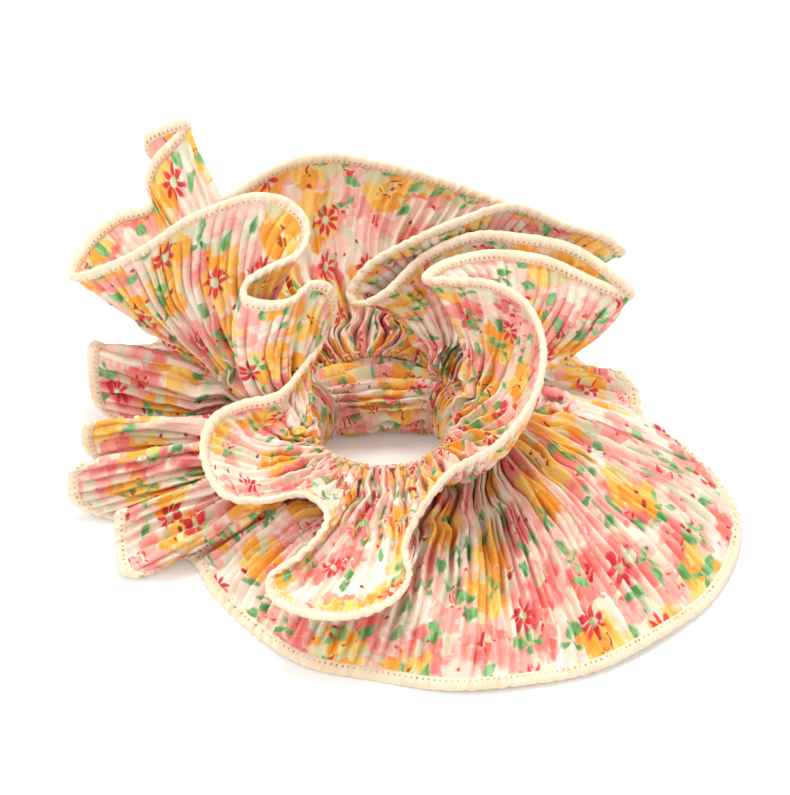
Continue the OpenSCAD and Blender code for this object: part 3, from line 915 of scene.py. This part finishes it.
def twisted_thread(name, light, dark):
    """Sewing thread: plies that wind round it, in object space."""
    g = Graph(name)
    place = g.node("TexCoord").outputs["Object"]
    wave = g.node("TexWave", wave_type="BANDS", bands_direction="DIAGONAL")
    g.feed(wave.inputs["Vector"], place)
    wave.inputs["Scale"].default_value = 900.0
    wave.inputs["Distortion"].default_value = 1.5
    g.tree.links.new(g.mix(wave.outputs["Fac"], dark, light), g.shader.inputs["Base Color"])
    g.shader.inputs["Roughness"].default_value = 0.7
    g.shader.inputs["Sheen Weight"].default_value = 0.3
    g.bump(wave.outputs["Fac"], 0.00008)
    return g.material


def knitted_elastic():
    """Flat elastic: ribs over its rubber cores, crossed by the knit."""
    g = Graph("knitted_elastic")
    place = g.node("TexCoord").outputs["Object"]
    ribs = g.node("TexWave", wave_type="BANDS", bands_direction="Z")
    g.feed(ribs.inputs["Vector"], place)
    ribs.inputs["Scale"].default_value = 280.0
    knit = g.noise(place, 1800.0, 2.0)[0]
    height = g.maths("MULTIPLY_ADD", knit, 0.4, ribs.outputs["Fac"])
    tint = g.mix(g.ramp(height, 0.3, 1.1), colour("D8D2C4"), colour("F7F3EA"))
    g.tree.links.new(tint, g.shader.inputs["Base Color"])
    g.shader.inputs["Roughness"].default_value = 0.8
    g.bump(height, 0.0002)
    return g.material


def studio_floor():
    """The plain pale surface that the object lies on."""
    g = Graph("studio_floor")
    place = g.node("TexCoord").outputs["Object"]
    tint = g.mix(g.noise(place, 3.0)[0], (0.93, 0.93, 0.93, 1), (0.95, 0.95, 0.95, 1))
    g.tree.links.new(tint, g.shader.inputs["Base Color"])
    g.shader.inputs["Roughness"].default_value = 0.9
    g.shader.inputs["Specular IOR Level"].default_value = 0.1
    g.shader.inputs["Emission Color"].default_value = (1, 1, 1, 1)
    g.shader.inputs["Emission Strength"].default_value = 0.1
    size = 3000.0
    corners = np.array([[-size, -size, 0], [size, -size, 0], [size, size, 0], [-size, size, 0]])
    corners[:, 2] = FLOOR_Z
    floor = bpy.data.objects.new("floor", mesh_from("floor", corners, np.array([[0, 1, 2, 3]])))
    bpy.context.scene.collection.objects.link(floor)
    floor.data.materials.append(g.material)


def give_material(node, material):
    """A CAD node that stays gets a better material in each of its slots."""
    for slot in frame["nodes"][node].material_slots:
        slot.material = material


def join_seam(name, node, grid, first_place, material):
    """The overlocked seam allowance where the strip's ends are joined, on the far face."""
    columns, rows = grid.shape[:2]
    angles = np.degrees(np.unwrap(np.arctan2(grid[:, 0, 1], grid[:, 0, 0])))
    angles = angles - angles[0] + first_place
    at = int(np.argmin(np.abs(angles - SEAM_PLACE)))
    picked = np.arange(at - SEAM_SPAN, at + SEAM_SPAN + 1) % columns
    calm = sum(np.roll(grid, k, 0) for k in range(-3, 4)) / 7
    normal = grid_normals(calm)[picked]
    strip = calm[picked] + normal * SEAM_LIFT
    strip = strip[:, 1:-1]
    normal = normal[:, 1:-1]
    layers = []
    for level in (-SEAM_T / 2, SEAM_T / 2):
        wave = 0.12 * np.sin(np.arange(rows - 2) * 2.1)[None, :, None]
        layers.append(strip + normal * (level + wave))
    n, m = strip.shape[:2]
    points = np.concatenate([layer.reshape(-1, 3) for layer in layers])
    faces = box_faces(n, m)
    mesh = mesh_from(name, points, faces)
    corner = faces.ravel() % (n * m)
    uv = np.stack([corner % m * 0.86, corner // m / n], -1)
    write_uv(mesh, uv)
    return add_piece(name, mesh, material, node, slot="overlock_thread")


def box_faces(n, m):
    """Faces of a closed slab from two open n by m grids, one over the other."""
    half = n * m
    a = (np.arange(n - 1)[:, None] * m + np.arange(m - 1)[None, :]).ravel()
    low = np.stack([a, a + 1, a + m + 1, a + m], -1)
    high = np.stack([a, a + m, a + m + 1, a + 1], -1) + half
    sides = []
    ring = [i * m for i in range(n)] + [(n - 1) * m + j for j in range(1, m)]
    ring += [i * m + m - 1 for i in range(n - 2, -1, -1)] + [j for j in range(m - 2, 0, -1)]
    for here, there in zip(ring, ring[1:] + ring[:1]):
        sides.append([here, there, there + half, here + half])
    return np.concatenate([low, high, np.array(sides)])


# ---- the object ----
add_camera()
light_scene()
cloth = printed_cloth()
edge_thread = overlock_thread()
upper, upper_grid, upper_length = ruffle(
    "upper_ruffle_cloth", "upper_ruffle", UPPER_FOLD, UPPER, 11, cloth)
lower, lower_grid, lower_length = ruffle(
    "lower_ruffle_cloth", "lower_ruffle", LOWER_FOLD, LOWER, 23, cloth)
upper_band = overlock("upper_overlock_threads", "upper_overlock", upper_grid, upper_length, edge_thread)
lower_band = overlock("lower_overlock_threads", "lower_overlock", lower_grid, lower_length, edge_thread)
upper_seam = join_seam("upper_seam_allowance", "upper_join_seam", upper_grid, UPPER_FOLD[0][0],
                       edge_thread)
lower_seam = join_seam("lower_seam_allowance", "lower_join_seam", lower_grid, LOWER_FOLD[0][0],
                       edge_thread)
casing(cloth, upper_length)

thread = twisted_thread("sewing_thread", colour("F6DFCE"), colour("D9B9A0"))
give_material("elastic_band", knitted_elastic())
give_material("elastic_bar_tack", thread)
give_material("gather_stitches", thread)
studio_floor()
